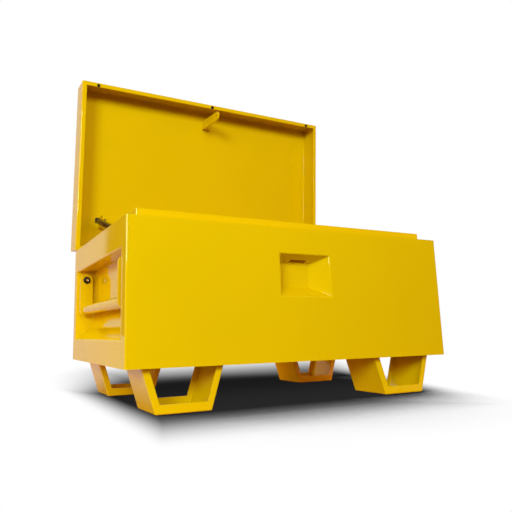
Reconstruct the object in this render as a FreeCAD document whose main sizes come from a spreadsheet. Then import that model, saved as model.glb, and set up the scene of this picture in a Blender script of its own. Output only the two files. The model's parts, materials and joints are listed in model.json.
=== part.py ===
"""Jobsite storage box: a folded steel chest on four channel feet, with a lid held by gas struts.

The origin is on the floor, under the middle of the space that the box takes with its lid open:
+X runs along the front from the left end to the right end, +Y points to the back, +Z is up.
The lid stands open. Its pieces are drawn as if it were shut, with the hinge line as their origin,
and are then turned open about that line. All lengths are millimetres and all angles degrees.
"""
import FreeCAD, Part
import os

import Sketcher
from FreeCAD import Placement, Rotation, Vector

doc = FreeCAD.newDocument("storage_box")
table = doc.addObject("Spreadsheet::Sheet", "Sizes")


# ---------------------------------------------------------------- sizes and sums of sizes
class Size:
    """A size as the document works it out: the name of a cell, or a sum, share or angle of such."""

    def __init__(self, text):
        self.text = str(text)

    def __add__(self, other):
        return Size(f"({self.text} + {Size.of(other)})")

    def __sub__(self, other):
        return Size(f"({self.text} - {Size.of(other)})")

    def __mul__(self, other):
        return Size(f"({self.text} * {Size.of(other)})")

    def __truediv__(self, other):
        return Size(f"({self.text} / {Size.of(other)})")

    def __neg__(self):
        return Size(f"(0 - {self.text})")

    __radd__ = __add__
    __rmul__ = __mul__

    @staticmethod
    def of(thing):
        """Give the text of a size or of a plain number."""
        return thing.text if isinstance(thing, Size) else str(thing)

    @property
    def value(self):
        """Give the number that the size has now."""
        return float(table.evalExpression(self.text))


def size(name, value):
    """Write one driving dimension in a row of its own and give the size that names its cell."""
    size.row += 1
    table.set(f"A{size.row}", name)
    table.set(f"B{size.row}", str(value))
    table.setAlias(f"B{size.row}", name)
    return Size(f"Sizes.{name}")


size.row = 0


def sine(angle):
    return Size(f"sin({Size.of(angle)})")


def cosine(angle):
    return Size(f"cos({Size.of(angle)})")


def direction(across, up):
    """Give the angle of a line that runs so far across and so far up."""
    return Size(f"(atan2({Size.of(up)}; {Size.of(across)}) / 1 deg)")


def length(across, up):
    """Give the length of such a line."""
    return Size(f"sqrt(pow({Size.of(across)}; 2) + pow({Size.of(up)}; 2))")


# ---------------------------------------------------------------- driving dimensions
# The box's body, folded from one thickness of sheet steel.
box_width = size("box_width", 812)
box_depth = size("box_depth", 483)
body_height = size("body_height", 286)
sheet = size("sheet", 2)
bend = size("bend", 1.5)                      # inside radius of every fold
seam = size("seam", 0.2)                      # gap between two sheets that are welded together
return_width = size("return_width", 27)       # how far the front and back wrap round the ends
shelf_width = size("shelf_width", 27)         # from the outside to the upright collar of the rim
collar_height = size("collar_height", 20)
floor_flange = size("floor_flange", 15)
overrun = size("overrun", 1)                  # how far a cutting shape runs past what it cuts

# The padlock's pocket in the front: its mouth, its back and the slot in its ceiling.
pocket_width = size("pocket_width", 134)
pocket_height = size("pocket_height", 92)
pocket_rise = size("pocket_rise", 136.8)
pocket_depth = size("pocket_depth", 40)
pocket_back_width = size("pocket_back_width", 71)
pocket_back_height = size("pocket_back_height", 52.5)
pocket_back_rise = size("pocket_back_rise", 24.2)
slot_width = size("slot_width", 44)
slot_length = size("slot_length", 16)

# The hollow in each end that the drop handle hangs in.
recess_top = size("recess_top", 60)           # from the rim down to the ceiling
recess_bottom = size("recess_bottom", 50)     # from the floor up to the sill
recess_depth = size("recess_depth", 42)
recess_wall = size("recess_wall", 112)        # upright part of the inner wall
recess_toe = size("recess_toe", 28)           # height of the sloping sill
recess_toe_depth = size("recess_toe_depth", 29)
recess_draft = size("recess_draft", 27)       # how far each cheek leans in over the depth

# The four feet, folded channels with the shape of an upturned trapezium.
foot_height = size("foot_height", 86)
foot_top_width = size("foot_top_width", 172)
foot_base_width = size("foot_base_width", 117)
foot_length = size("foot_length", 105)
foot_inset = size("foot_inset", 123)         # from the end of the box to the foot's middle
foot_setback = size("foot_setback", 19.5)
foot_side_flange = size("foot_side_flange", 14)
foot_base_flange = size("foot_base_flange", 18)

# The lid, a pan with a narrow lip folded inwards all round.
lid_height = size("lid_height", 70.5)
lid_gap = size("lid_gap", 2.5)
lid_lip = size("lid_lip", 14)
lid_open = size("lid_open", 85)
buffer_diameter = size("buffer_diameter", 9)
buffer_inset = size("buffer_inset", 8.5)      # from the lid's front edge
buffer_end_inset = size("buffer_end_inset", 45)
buffer_clearance = size("buffer_clearance", 0.3)

# The hasp on the lid and the fixed eye beside it.
hasp_thickness = size("hasp_thickness", 5)
hasp_width = size("hasp_width", 28)
hasp_reach = size("hasp_reach", 46)           # below the hinge line when the lid is shut
hasp_setback = size("hasp_setback", 18.5)     # from the front collar to the hasp's middle
hasp_foot_width = size("hasp_foot_width", 20)
hasp_foot_thickness = size("hasp_foot_thickness", 4)
hasp_gap = size("hasp_gap", 3.5)              # between the hasp and the fixed eye
lock_hole = size("lock_hole", 10.5)
lock_hole_edge = size("lock_hole_edge", 15)   # from the hole's middle to the hasp's tip
gusset_height = size("gusset_height", 22)
eye_drop = size("eye_drop", 20)               # from the lock hole down to the eye plate's lower edge
guard_gap = size("guard_gap", 3)              # from the guard to the pocket and to the eye plate

# The piano hinge along the back.
hinge_inset = size("hinge_inset", 16)         # from the end of the box to the end of the hinge
leaf_height = size("leaf_height", 20)
leaf_thickness = size("leaf_thickness", 1.5)
barrel_diameter = size("barrel_diameter", 7)
hinge_pin_diameter = size("hinge_pin_diameter", 4)
hinge_clearance = size("hinge_clearance", 0.06)
hinge_gap = size("hinge_gap", 0.4)            # between the knuckles, and from them to the walls
rivet_diameter = size("rivet_diameter", 4)
rivet_head_diameter = size("rivet_head_diameter", 8)
rivet_head_height = size("rivet_head_height", 1.8)
rivet_tail = size("rivet_tail", 1.5)
hinge_knuckle_pairs = 12
hinge_rivet_count = 8

# The gas struts, one near each end.
strut_inset = size("strut_inset", 61)         # from the end of the box to the strut's middle
strut_lid_reach = size("strut_lid_reach", 92)
strut_lid_height = size("strut_lid_height", 15)
strut_foot_reach = size("strut_foot_reach", 141.5)
strut_foot_drop = size("strut_foot_drop", 23)
strut_tube_length = size("strut_tube_length", 190)
strut_tube_diameter = size("strut_tube_diameter", 18)
strut_tube_wall = size("strut_tube_wall", 1.5)
strut_rod_diameter = size("strut_rod_diameter", 8)
strut_gland_length = size("strut_gland_length", 10)
strut_piston_length = size("strut_piston_length", 8)
strut_overlap = size("strut_overlap", 40)     # rod left in the tube when the strut is longest
strut_clearance = size("strut_clearance", 0.06)
socket_diameter = size("socket_diameter", 16)
socket_width = size("socket_width", 12)
socket_reach = size("socket_reach", 24)       # from the ball's middle to the tube or the rod
socket_neck = size("socket_neck", 10)
ball_diameter = size("ball_diameter", 10)
ball_clearance = size("ball_clearance", 0.08)
stud_diameter = size("stud_diameter", 6)
stud_gap = size("stud_gap", 0.4)
bracket_thickness = size("bracket_thickness", 3)
bracket_width = size("bracket_width", 34)
bracket_base = size("bracket_base", 26)
bracket_standoff = size("bracket_standoff", 13)   # from the strut's middle to a lid bracket's plate
box_bracket_standoff = size("box_bracket_standoff", 21)
bracket_edge = size("bracket_edge", 9)        # from a stud's middle to the bracket's rounded edge
nut_diameter = size("nut_diameter", 13)
nut_height = size("nut_height", 6)

# The drop handles.
handle_drop = size("handle_drop", 24)         # from the recess ceiling to the pivot
handle_length = size("handle_length", 76)     # from the pivot to the grip
handle_depth = size("handle_depth", 18.5)     # from the end of the box in to the handle's middle
handle_gap = size("handle_gap", 19)           # from the leaning cheek to the arm, beside the pivot
arm_width = size("arm_width", 32)
arm_thickness = size("arm_thickness", 6)
grip_diameter = size("grip_diameter", 24)
grip_wall = size("grip_wall", 2.5)
boss_diameter = size("boss_diameter", 20)
boss_gap = size("boss_gap", 0.3)
bolt_diameter = size("bolt_diameter", 10)
bolt_clearance = size("bolt_clearance", 0.08)
bolt_depth = size("bolt_depth", 12)           # how far the bolt goes into its boss
bolt_head_diameter = size("bolt_head_diameter", 14)
bolt_head_height = size("bolt_head_height", 5)
bolt_socket = size("bolt_socket", 6)
washer_diameter = size("washer_diameter", 18)
washer_thickness = size("washer_thickness", 1.2)
doc.recompute()

# ---------------------------------------------------------------- places that several pieces share
bend_outside = bend + sheet
body_z = foot_height
rim_z = foot_height + body_height
end_x = box_width / 2
hinge_out = barrel_diameter / 2 + hinge_gap   # the hinge line stands this far behind the back
hinge_z = rim_z + lid_gap / 2
lid_bottom = lid_gap / 2                      # of the lid's lip, above the hinge line
lid_top = lid_bottom + lid_height
lid_behind = hinge_out - hinge_out * cosine(lid_open) + lid_top * sine(lid_open)
front_y = -(box_depth + lid_behind) / 2
middle_y = front_y + box_depth / 2
back_y = front_y + box_depth
hinge_y = back_y + hinge_out
hinge_end = end_x - hinge_inset
collar_y = front_y + shelf_width              # outer face of the front collar
lid_back = -hinge_out                         # the lid's own y runs forwards from the hinge line
lid_front = -(hinge_out + box_depth)
end_front = front_y + return_width + seam     # front edge of an end panel and its recess
cheek_front = end_front + sheet * length(recess_depth, recess_draft) / recess_depth
AROUND_X = Vector(1, 0, 0)
AROUND_Y = Vector(0, 1, 0)
NEAR = 0.001                                  # two places closer than this are the same place

nodes = []


# ---------------------------------------------------------------- ways of making a piece
def bind(thing, sizes):
    """Tie properties to sizes, by name."""
    for name, value in sizes.items():
        thing.setExpression(name, Size.of(value))
    return thing


def node(thing, name):
    """Name a finished sub-part and keep it for the export."""
    thing.Label = name
    nodes.append(thing)
    return thing


def block(name, x, y, z):
    """Make a box between two places along each axis."""
    solid = doc.addObject("Part::Box", name)
    spans = {"Length": x[1] - x[0], "Width": y[1] - y[0], "Height": z[1] - z[0]}
    corner = {"Placement.Base.x": x[0], "Placement.Base.y": y[0], "Placement.Base.z": z[0]}
    return bind(solid, spans | corner)


def bar(name, axis, centre, span, diameter):
    """Make a round bar along X, Y or Z, between two places along that axis."""
    solid = doc.addObject("Part::Cylinder", name)
    turns = {"x": Rotation(AROUND_Y, 90), "y": Rotation(AROUND_X, -90), "z": Rotation()}
    solid.Placement = Placement(Vector(), turns[axis])
    others = [letter for letter in "xyz" if letter != axis]
    places = {axis: span[0], others[0]: centre[0], others[1]: centre[1]}
    corner = {f"Placement.Base.{letter}": places[letter] for letter in "xyz"}
    return bind(solid, {"Radius": diameter / 2, "Height": span[1] - span[0]} | corner)


def through(low, high):
    """Give the span of a cutting shape that runs past both faces of what it cuts."""
    return (low - overrun, high + overrun)


def ball(name, place, diameter):
    """Make a ball whose poles lie in line with the struts' studs, which run along X."""
    solid = doc.addObject("Part::Sphere", name)
    solid.Placement = Placement(Vector(), Rotation(AROUND_Y, 90))
    corner = {f"Placement.Base.{letter}": place[i] for i, letter in enumerate("xyz")}
    return bind(solid, {"Radius": diameter / 2} | corner)


def fuse(name, *pieces):
    """Make one solid of pieces that touch."""
    solid = doc.addObject("Part::MultiFuse", name)
    solid.Shapes = list(pieces)
    solid.Refine = True
    return solid


def group(name, pieces):
    """Keep separate solids together."""
    solid = doc.addObject("Part::Compound", name)
    solid.Links = list(pieces)
    return solid


def cut(name, base, *tools):
    """Take tools away from a piece."""
    solid = doc.addObject("Part::Cut", name)
    solid.Base = base
    solid.Tool = tools[0] if len(tools) == 1 else group(name + "_tools", tools)
    solid.Refine = True
    return solid


def common(name, first, second):
    """Keep what two solids share."""
    solid = doc.addObject("Part::Common", name)
    solid.Base = first
    solid.Tool = second
    solid.Refine = True
    return solid


def other_end(name, piece):
    """Mirror a piece from the left end of the box to the right end."""
    copy = doc.addObject("Part::Mirroring", name)
    copy.Source = piece
    copy.Normal = Vector(1, 0, 0)
    return copy


def other_side(name, piece):
    """Mirror a piece from the front half of the box to the back half."""
    copy = doc.addObject("Part::Mirroring", name)
    copy.Source = piece
    copy.Normal = Vector(0, 1, 0)
    return bind(copy, {"Base.y": middle_y})


def turned(piece, y, z, angle):
    """Turn a piece about the X axis through its own origin and carry it to a place."""
    piece.Placement = Placement(Vector(), Rotation(AROUND_X, 1))
    places = {"Placement.Base.y": y, "Placement.Base.z": z}
    return bind(piece, places | {"Placement.Rotation.Angle": angle})


def on_lid(piece):
    """Open a piece of the lid about the hinge line."""
    return turned(piece, hinge_y, hinge_z, -lid_open)


def start_body(name, plane, span):
    """Start a body with a sketch that lies across the given span."""
    body = doc.addObject("PartDesign::Body", name)
    sketch = body.newObject("Sketcher::SketchObject", name + "_sketch")
    role = plane + "_Plane"
    sketch.AttachmentSupport = [(part, "") for part in body.Origin.OriginFeatures if part.Role == role]
    sketch.MapMode = "FlatFace"
    # The XZ plane faces forwards, so its pads run from the back of the span to the front.
    offset = -span[1] if plane == "XZ" else span[0]
    return body, bind(sketch, {"AttachmentOffset.Base.z": offset})


def draw(sketch, corners):
    """Draw a closed outline through points that are already in order."""
    count = len(corners)
    for i, corner in enumerate(corners):
        sketch.addGeometry(Part.LineSegment(corner, corners[(i + 1) % count]), False)
    for i in range(count):
        sketch.addConstraint(Sketcher.Constraint("Coincident", i, 2, (i + 1) % count, 1))


def fix(sketch, kind, *target, to):
    """Add a dimension to a sketch and tie it to a size."""
    index = sketch.addConstraint(Sketcher.Constraint(kind, *target, to.value))
    sketch.setExpression(f"Constraints[{index}]", to.text)


def fix_corners(sketch, outline):
    """Tie the first corners of a sketch to their places."""
    for i, (across, up) in enumerate(outline):
        fix(sketch, "DistanceX", -1, 1, i, 1, to=across)
        fix(sketch, "DistanceY", -1, 1, i, 1, to=up)


def pad(body, sketch, span):
    """Give a sketch its thickness."""
    feature = body.newObject("PartDesign::Pad", body.Name + "_pad")
    feature.Profile = sketch
    bind(feature, {"Length": span[1] - span[0]})
    doc.recompute()
    return feature


def plate(name, plane, outline, span):
    """Make a flat piece with straight edges."""
    outline = [(Size(Size.of(across)), Size(Size.of(up))) for across, up in outline]
    body, sketch = start_body(name, plane, span)
    draw(sketch, [Vector(across.value, up.value, 0) for across, up in outline])
    fix_corners(sketch, outline)
    pad(body, sketch, span)
    return body


def rounded(body, radius, chosen):
    """Round the straight edges of a body whose two ends pass a test."""
    tip = body.Tip
    names = []
    for number, edge in enumerate(tip.Shape.Edges, start=1):
        ends = [vertex.Point for vertex in edge.Vertexes]
        if len(ends) == 2 and chosen(*ends):
            names.append(f"Edge{number}")
    feature = body.newObject("PartDesign::Fillet", f"{body.Name}_round_{len(body.Group)}")
    feature.Base = (tip, names)
    bind(feature, {"Radius": radius})
    doc.recompute()
    return body


def upright(a, b):
    """Tell whether an edge stands straight up."""
    return abs(a.x - b.x) + abs(a.y - b.y) < NEAR


def seen(plane, point):
    """Give the place of a point as a sketch on a plane shows it."""
    flat = {"XY": (point.x, point.y), "XZ": (point.x, point.z), "YZ": (point.y, point.z)}
    return Vector(*flat[plane], 0)


def crossing(start, along, other, other_along):
    """Give the point where two lines in a sketch cross."""
    apart = other - start
    scale = apart.x * other_along.y - apart.y * other_along.x
    return start + along * (scale / (along.x * other_along.y - along.y * other_along.x))


def folded(name, plane, path, span):
    """Fold a strip of sheet along a path. The metal lies to the left of the path."""
    path = [(Size(Size.of(across)), Size(Size.of(up))) for across, up in path]
    near = [Vector(across.value, up.value, 0) for across, up in path]
    runs = [(near[i + 1] - near[i]).normalize() for i in range(len(near) - 1)]
    lefts = [Vector(-run.y, run.x, 0) * sheet.value for run in runs]
    far = [near[0] + lefts[0]]
    for i in range(1, len(runs)):
        far.append(crossing(near[i] + lefts[i - 1], runs[i - 1], near[i] + lefts[i], runs[i]))
    far.append(near[-1] + lefts[-1])

    body, sketch = start_body(name, plane, span)
    draw(sketch, near + far[::-1])
    fix_corners(sketch, path)
    last = 2 * len(runs)
    for i in range(len(runs)):
        sketch.addConstraint(Sketcher.Constraint("Parallel", i, last - i))
        fix(sketch, "Distance", last - i, 1, i, to=sheet)
    sketch.addConstraint(Sketcher.Constraint("Perpendicular", len(runs) - 1, len(runs)))
    sketch.addConstraint(Sketcher.Constraint("Perpendicular", 0, last + 1))
    pad(body, sketch, span)

    inner, outer = [], []
    for i in range(1, len(runs)):
        turns_left = runs[i - 1].cross(runs[i]).z > 0
        outer.append(near[i] if turns_left else far[i])
        inner.append(far[i] if turns_left else near[i])
    for radius, folds in ((bend, inner), (bend_outside, outer)):
        def on_fold(a, b):
            place = seen(plane, a)
            along = place.distanceToPoint(seen(plane, b)) < NEAR
            return along and min(place.distanceToPoint(fold) for fold in folds) < NEAR
        rounded(body, radius, on_fold)
    return body


# ---------------------------------------------------------------- front and back
def mouth_of_pocket():
    """Make the padlock's pocket as solid space, narrowing from its mouth to its back."""
    space = doc.addObject("Part::Wedge", "pocket_space")
    mouth = {"Xmin": -pocket_width / 2, "Xmax": pocket_width / 2, "Zmin": 0, "Zmax": pocket_height}
    back = {"X2min": -pocket_back_width / 2, "X2max": pocket_back_width / 2,
            "Z2min": pocket_back_rise, "Z2max": pocket_back_rise + pocket_back_height}
    place = {"Placement.Base.y": front_y, "Placement.Base.z": body_z + pocket_rise}
    bind(space, mouth | back | {"Ymin": 0, "Ymax": pocket_depth} | place)
    doc.recompute()
    return space


def make_front_and_back():
    """Fold the front and the back, and weld the padlock's pocket into the front."""
    wrap = front_y + return_width
    path = [(-end_x, wrap), (-end_x, front_y), (end_x, front_y), (end_x, wrap)]
    front = folded("front_pan", "XY", path, (body_z, rim_z))
    node(front_pan_with_pocket(front), "front_panel")
    holes = group("back_rivet_holes", hinge_rivets("back_hole", -leaf_middle(), rivet_diameter))
    turned(holes, hinge_y, hinge_z, 0)
    node(cut("back_pan_cut", other_side("back_pan", front), holes), "back_panel")


def front_pan_with_pocket(front):
    """Cut the pocket's outline from the front and give the pocket its walls and its slot."""
    space = mouth_of_pocket()
    walls = doc.addObject("Part::Thickness", "pocket_walls")
    faces = space.Shape.Faces
    mouth = min(range(len(faces)), key=lambda i: faces[i].CenterOfMass.y)
    walls.Faces = (space, [f"Face{mouth + 1}"])
    walls.Join = 2
    bind(walls, {"Value": sheet})
    back = front_y + pocket_depth
    ceiling = body_z + pocket_rise + pocket_back_rise + pocket_back_height
    slot = block("pocket_slot", (-slot_width / 2, slot_width / 2), (back - slot_length, back),
                 (ceiling - sheet, rim_z - shelf_width))
    node(cut("pocket_cut", walls, slot), "lock_pocket")
    return cut("front_pan_cut", front, space, walls)


# ---------------------------------------------------------------- ends
def recess_path(outward):
    """Give the line that the left end follows through its recess, from the ceiling to the sill."""
    ceiling = rim_z - recess_top
    sill = body_z + recess_bottom
    return [(-end_x - outward, ceiling), (-end_x + recess_depth, ceiling),
            (-end_x + recess_depth, ceiling - recess_wall),
            (-end_x + recess_toe_depth, sill + recess_toe), (-end_x - outward, sill)]


def make_ends():
    """Fold each end round its recess and close the recess with two leaning cheeks."""
    span = (end_front, middle_y * 2 - end_front)
    path = [(-end_x, rim_z)] + recess_path(0) + [(-end_x, body_z)]
    panel = folded("end_fold", "XZ", path, span)
    node(panel, "end_panel_left")
    node(other_end("end_fold_right", panel), "end_panel_right")

    # The cheeks fill the recess's own outline between a leaning line and that line a sheet further out.
    inner = [(-end_x, cheek_front), (-end_x + recess_depth, cheek_front + recess_draft)]
    outer = [(-end_x + recess_depth, end_front + recess_draft), (-end_x, end_front)]
    hollow = plate("recess_hollow", "XZ", recess_path(0), span)
    open_side = -end_x.value + NEAR
    rounded(hollow, bend, lambda a, b: abs(a.y - b.y) > NEAR and a.x > open_side)
    lean = plate("cheek_lean", "XY", inner + outer, (body_z, rim_z))
    cheek = common("cheek_front", hollow, lean)
    cheeks = group("cheeks", [cheek, other_side("cheek_back", cheek)])
    node(cheeks, "recess_cheeks_left")
    node(other_end("cheeks_right", cheeks), "recess_cheeks_right")

    behind = [(-end_x + recess_depth, middle_y), (-end_x, middle_y)]
    return common("recess_space", hollow, plate("cheek_side", "XY", inner + behind, (body_z, rim_z)))


# ---------------------------------------------------------------- floor and rim
def make_floor_and_rim():
    """Make the floor tray, and the rim of four ledges and four collars that the lid shuts over."""
    inside_x = end_x - sheet - seam
    inside_y = box_depth / 2 - sheet - seam
    outline = [(-inside_x, middle_y - inside_y), (inside_x, middle_y - inside_y),
               (inside_x, middle_y + inside_y), (-inside_x, middle_y + inside_y)]
    room = plate("room", "XY", outline, (body_z, rim_z + collar_height))
    rounded(room, bend_outside, upright)

    across = (-inside_x, inside_x)
    deep = (middle_y - inside_y, middle_y + inside_y)
    tray = common("tray", room, block("tray_height", across, deep, (body_z, body_z + floor_flange)))
    well = (middle_y - inside_y + sheet, middle_y + inside_y - sheet)
    hollow = block("tray_well", (-inside_x + sheet, inside_x - sheet), well,
                   (body_z + sheet, body_z + floor_flange + sheet))
    node(cut("tray_cut", tray, hollow), "floor_panel")

    shelf = (rim_z - sheet, rim_z)
    collar = (rim_z - sheet, rim_z + collar_height)
    collar_x = end_x - shelf_width
    end_span = (collar_y + sheet + seam, middle_y * 2 - collar_y - sheet - seam)
    front_shelf = block("front_shelf", across, (middle_y - inside_y, collar_y), shelf)
    front_ledge = common("front_ledge", front_shelf, room)
    node(front_ledge, "rim_front")
    node(other_side("back_ledge", front_ledge), "rim_back")
    shelf_span = (collar_y + seam, middle_y * 2 - collar_y - seam)
    end_shelf = block("end_shelf", (-inside_x, -collar_x), shelf_span, shelf)
    node(group("end_shelf_alone", [end_shelf]), "rim_left")
    node(other_end("end_shelf_right", end_shelf), "rim_right")

    front_collar = block("front_collar", (-collar_x, collar_x), (collar_y, collar_y + sheet), collar)
    node(group("front_collar_alone", [front_collar]), "collar_front")
    node(other_side("back_collar", front_collar), "collar_back")
    end_collar = block("end_collar", (-collar_x, -collar_x + sheet), end_span, collar)
    node(group("end_collar_alone", [end_collar]), "collar_left")
    node(other_end("end_collar_right", end_collar), "collar_right")


# ---------------------------------------------------------------- feet
def foot_outline(inset, base, top):
    """Give a foot's outline, drawn in from its legs by an inset, from its base up to its top."""
    lean = (foot_top_width - foot_base_width) / 2
    shrink = inset * length(lean, foot_height) / foot_height
    half_base = foot_base_width / 2 - shrink + base * lean / foot_height
    half_top = foot_base_width / 2 - shrink + top * lean / foot_height
    middle = foot_inset - end_x
    return [(middle - half_top, top), (middle - half_base, base),
            (middle + half_base, base), (middle + half_top, top)]


def make_feet():
    """Make four channel feet, open towards the floor that they are welded to."""
    front = front_y + foot_setback
    span = (front, front + foot_length)
    over = foot_height + sheet
    shape = plate("foot_shape", "XZ", foot_outline(Size(0), Size(0), foot_height), span)
    hollow = plate("foot_hollow", "XZ", foot_outline(sheet, sheet, over),
                   (span[0] + sheet, span[1] - sheet))
    window = plate("foot_window", "XZ", foot_outline(foot_side_flange, foot_base_flange, over),
                   (span[0] - sheet, span[1] + sheet))
    left = cut("foot_cut", shape, hollow, window)
    right = other_end("foot_right", left)
    node(left, "foot_front_left")
    node(right, "foot_front_right")
    node(other_side("foot_left_back", left), "foot_back_left")
    node(other_side("foot_right_back", right), "foot_back_right")


# ---------------------------------------------------------------- lid
def make_lid():
    """Fold the lid's pan with its lips, close it with an end at each side and fit its buffers."""
    path = [(lid_back - lid_lip, lid_bottom), (lid_back, lid_bottom), (lid_back, lid_top),
            (lid_front, lid_top), (lid_front, lid_bottom), (lid_front + lid_lip, lid_bottom)]
    pan = folded("lid_fold", "YZ", path, (-end_x, end_x))
    # The front and back lips stop where the ends' own lips start.
    corner = (-end_x - overrun, -end_x + lid_lip + seam)
    low = (lid_bottom - overrun, lid_bottom + bend_outside)
    notches = [block("front_notch", corner, (lid_front + sheet, lid_front + lid_lip + overrun), low),
               block("back_notch", corner, (lid_back - lid_lip - overrun, lid_back - sheet), low)]
    notches += [other_end(notch.Name + "_right", notch) for notch in notches]
    holes = hinge_rivets("lid_hole", leaf_middle(), rivet_diameter)
    node(on_lid(cut("lid_pan", pan, *notches, *holes)), "lid_shell")

    top = lid_top - sheet - seam
    path = [(-end_x, top), (-end_x, lid_bottom), (-end_x + lid_lip, lid_bottom)]
    end = folded("lid_end_fold", "XZ", path, (lid_front + sheet + seam, lid_back - sheet - seam))
    high = top.value - NEAR
    rounded(end, bend, lambda a, b: min(a.z, b.z) > high and abs(a.y - b.y) < NEAR)
    end = group("lid_end_alone", [end])
    node(on_lid(end), "lid_end_left")
    node(other_end("lid_end_mirror", end), "lid_end_right")

    places = (-(end_x - buffer_end_inset), Size(0), end_x - buffer_end_inset)
    studs = []
    for number, x in enumerate(places, start=1):
        studs.append(bar(f"buffer_{number}", "z", (x, lid_front + buffer_inset),
                         (-lid_bottom + buffer_clearance, lid_bottom), buffer_diameter))
    node(on_lid(group("buffers", studs)), "lid_buffers")


def make_lock():
    """Make the hasp on the lid, its foot and gusset, and the fixed eye and guard round the lock."""
    middle = collar_y + sheet + hasp_setback - hinge_y
    hole_z = -hasp_reach + lock_hole_edge
    side = (-hasp_thickness / 2, hasp_thickness / 2)
    ceiling = lid_top - sheet
    width = (middle - hasp_width / 2, middle + hasp_width / 2)
    tongue = block("hasp_tongue", side, width, (-hasp_reach + hasp_width / 2, ceiling))
    tip = bar("hasp_tip", "x", (middle, -hasp_reach + hasp_width / 2), side, hasp_width)
    hole = bar("hasp_hole", "x", (middle, hole_z), through(*side), lock_hole)
    node(on_lid(cut("hasp_cut", fuse("hasp_shape", tongue, tip), hole)), "hasp_tab")

    base = ceiling - hasp_foot_thickness
    foot = block("hasp_foot_plate", (side[1], side[1] + hasp_foot_width), width, (base, ceiling))
    node(on_lid(group("hasp_foot_alone", [foot])), "hasp_foot")
    outline = [(side[1], base), (side[1], base - gusset_height), (side[1] + hasp_foot_width, base)]
    gusset = plate("gusset_plate", "XZ", outline, (width[1] - hasp_thickness, width[1]))
    node(on_lid(gusset), "hasp_gusset")

    eye_middle = middle + hinge_y
    eye_z = hinge_z + hole_z
    eye_x = (side[1] + hasp_gap, side[1] + hasp_gap + hasp_thickness)
    wall = front_y + sheet + seam
    body = block("eye_body", eye_x, (wall, eye_middle), (eye_z - eye_drop, rim_z - sheet - seam))
    round_end = bar("eye_round", "x", (eye_middle, eye_z), eye_x, eye_drop * 2)
    eye_hole = bar("eye_hole", "x", (eye_middle, eye_z), through(*eye_x), lock_hole)
    node(cut("eye_cut", fuse("eye_shape", body, round_end), eye_hole), "lock_eye_plate")

    guard_x = pocket_width / 2 + sheet + guard_gap
    guard_y = eye_middle + eye_drop + guard_gap
    path = [(-guard_x, wall), (-guard_x, guard_y), (guard_x, guard_y), (guard_x, wall)]
    low = body_z + pocket_rise + pocket_back_rise + pocket_back_height - sheet
    node(folded("guard_sheet", "XY", path, (low, rim_z - sheet - seam)), "lock_guard")


# ---------------------------------------------------------------- hinge
def leaf_middle():
    """Give the height of a leaf's line of rivets above the hinge line."""
    return barrel_diameter / 2 + hinge_gap + leaf_height / 2


def hinge_rivets(name, z, diameter):
    """Make the shanks of a leaf's rivets, from behind the leaf to just inside the wall."""
    pitch = hinge_end * 2 / hinge_rivet_count
    shanks = []
    for i in range(hinge_rivet_count):
        x = (i + 0.5) * pitch - hinge_end
        outside = leaf_thickness - hinge_out
        shanks.append(bar(f"{name}_{i + 1}", "y", (x, z), (lid_back - sheet, outside), diameter))
    return shanks


def make_leaf(name, sign):
    """Make one leaf with its knuckles, above the hinge line (sign 1) or below it (sign -1)."""
    def upright(low, high):
        return (low * sign, high * sign) if sign > 0 else (high * sign, low * sign)

    skin = (lid_back, lid_back + leaf_thickness)
    clear = barrel_diameter / 2 + hinge_gap
    pitch = hinge_end / hinge_knuckle_pairs
    pieces = [block(f"{name}_plate", (-hinge_end, hinge_end), skin,
                    upright(clear, clear + leaf_height))]
    first = 0 if sign > 0 else 1
    for i in range(first, 2 * hinge_knuckle_pairs, 2):
        start = i * pitch - hinge_end
        span = (start + hinge_gap / 2, start + pitch - hinge_gap / 2)
        pieces.append(block(f"{name}_tab_{i}", span, skin, upright(Size(0), clear + leaf_thickness)))
        pieces.append(bar(f"{name}_knuckle_{i}", "x", (Size(0), Size(0)), span, barrel_diameter))
    bore = bar(f"{name}_bore", "x", (Size(0), Size(0)), through(-hinge_end, hinge_end),
               hinge_pin_diameter + 2 * hinge_clearance)
    holes = hinge_rivets(f"{name}_hole", leaf_middle() * sign, rivet_diameter)
    return cut(f"{name}_cut", fuse(f"{name}_shape", *pieces), bore, *holes)


def make_rivets(name, sign):
    """Make one leaf's rivets: a head on the leaf, a shank through both sheets and a set tail."""
    z = leaf_middle() * sign
    outside = lid_back + leaf_thickness
    inside = lid_back - sheet
    pitch = hinge_end * 2 / hinge_rivet_count
    rivets = []
    for i, shank in enumerate(hinge_rivets(f"{name}_shank", z, rivet_diameter)):
        x = (i + 0.5) * pitch - hinge_end
        head = bar(f"{name}_head_{i}", "y", (x, z), (outside, outside + rivet_head_height),
                   rivet_head_diameter)
        tail = bar(f"{name}_tail_{i}", "y", (x, z), (inside - rivet_tail, inside), rivet_head_diameter)
        rivets.append(fuse(f"{name}_{i}", shank, head, tail))
    return group(name, rivets)


def make_hinge():
    """Make the piano hinge: a leaf on the back, a leaf on the lid, and the pin through both."""
    node(turned(make_leaf("body_leaf", -1), hinge_y, hinge_z, 0), "hinge_leaf_body")
    node(on_lid(make_leaf("lid_leaf", 1)), "hinge_leaf_lid")
    node(turned(make_rivets("body_rivets", -1), hinge_y, hinge_z, 0), "hinge_rivets_body")
    node(on_lid(make_rivets("lid_rivets", 1)), "hinge_rivets_lid")
    pin = bar("pin", "x", (hinge_y, hinge_z), (-hinge_end, hinge_end), hinge_pin_diameter)
    node(pin, "hinge_pin")


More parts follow.
